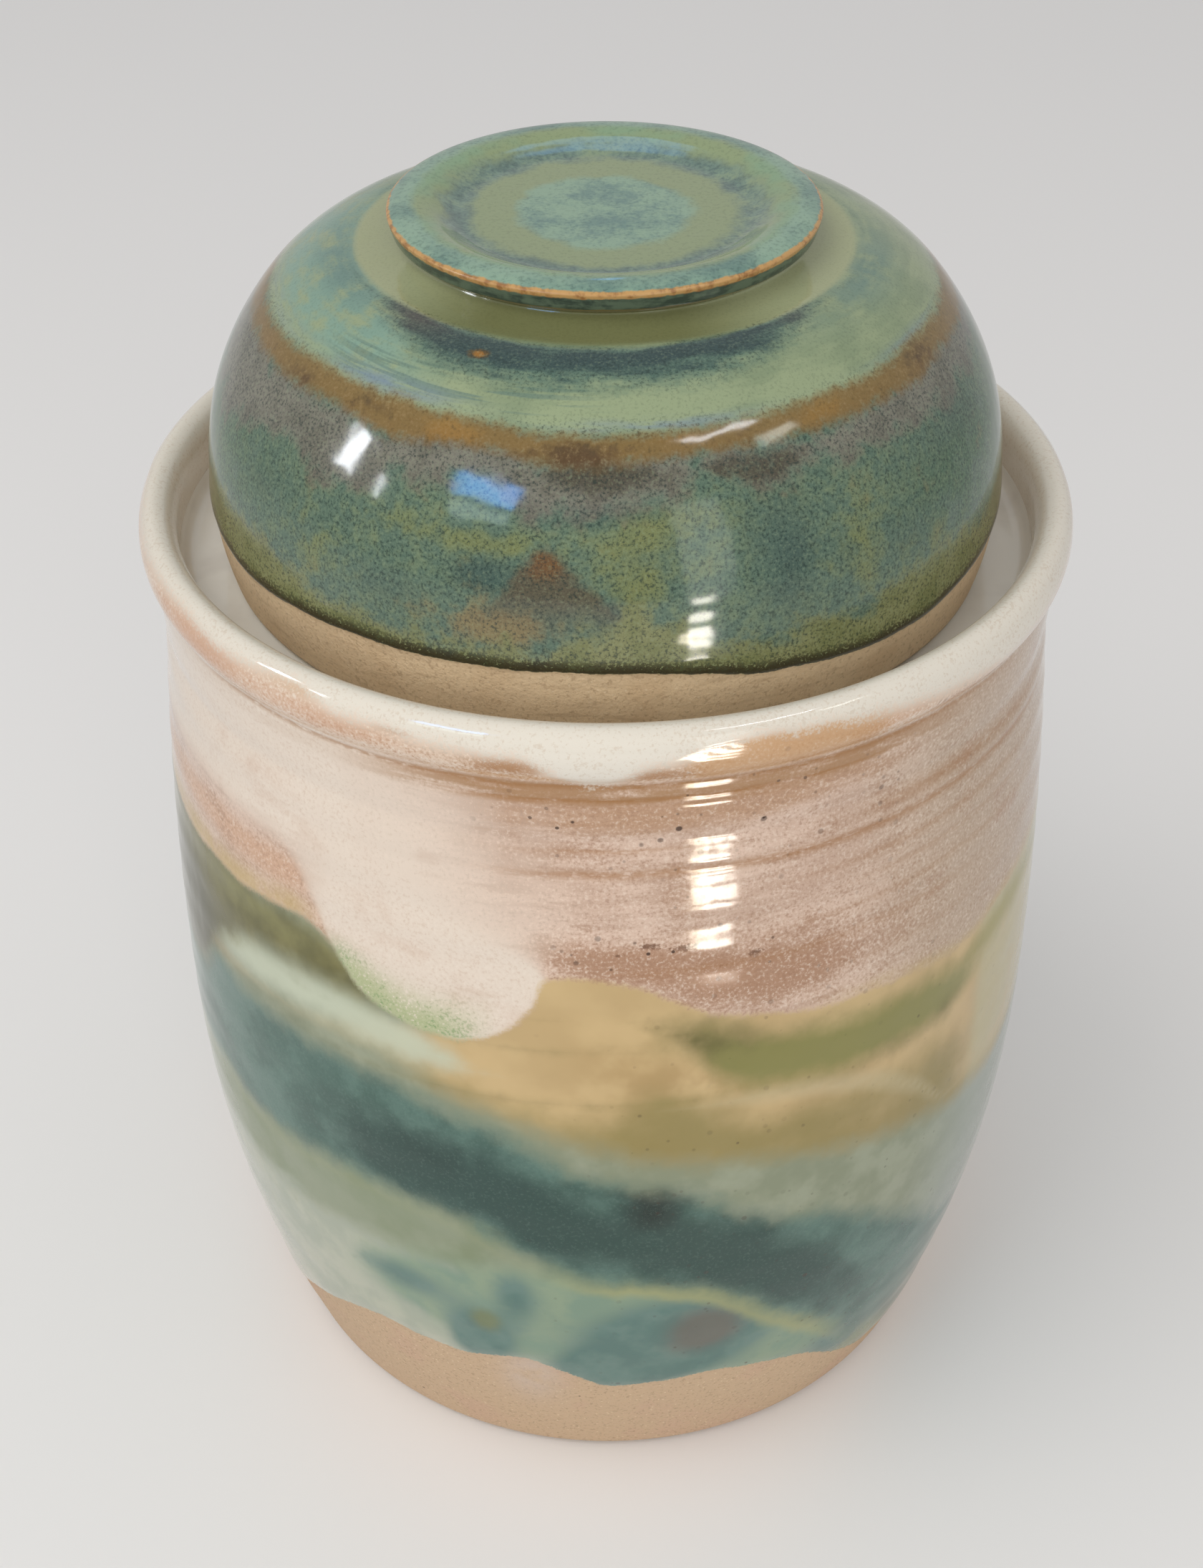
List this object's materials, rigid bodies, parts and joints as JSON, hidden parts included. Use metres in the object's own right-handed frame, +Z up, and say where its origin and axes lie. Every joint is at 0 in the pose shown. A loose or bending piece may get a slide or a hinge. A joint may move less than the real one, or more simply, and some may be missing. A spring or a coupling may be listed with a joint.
{
  "type": "water seal pickle jar",
  "caption": "Lidded stoneware crock for pickling: a water-filled moat inside the rim seals the bowl-shaped lid, and half-moon weights hold the food under its brine.",
  "frame": {"origin": "centre of the crock's foot, on the table", "axes": "+Z up along the crock's axis; the weights meet along X, with one on each side in Y"},
  "size_m": [0.1672, 0.1672, 0.2354],
  "materials": {
    "crock_glaze": "glossy layered glazes, cream over ochre and teal, over a bare clay foot",
    "white_glaze": "glossy white liner glaze",
    "lid_glaze": "glossy mottled green and teal glaze over a bare clay rim",
    "bare_clay": "unglazed fired stoneware"
  },
  "bodies": {
    "crock": {"crock_body": "crock_glaze", "moat_ring": "white_glaze"},
    "lid": {"lid_bowl": "lid_glaze", "lid_foot": "lid_glaze"},
    "front_weight": {"weight_front": "bare_clay"},
    "back_weight": {"weight_back": "bare_clay"}
  },
  "joints": [
    {"name": "lid_lift", "type": "slide", "parent": "crock", "child": "lid", "axis": [0, 0, 1], "range_m": [0, 0.12]},
    {"name": "front_weight_lift", "type": "slide", "parent": "crock", "child": "front_weight", "axis": [0, 0, 1], "range_m": [0, 0.145]},
    {"name": "back_weight_lift", "type": "slide", "parent": "crock", "child": "back_weight", "axis": [0, 0, 1], "range_m": [0, 0.145]}
  ]
}
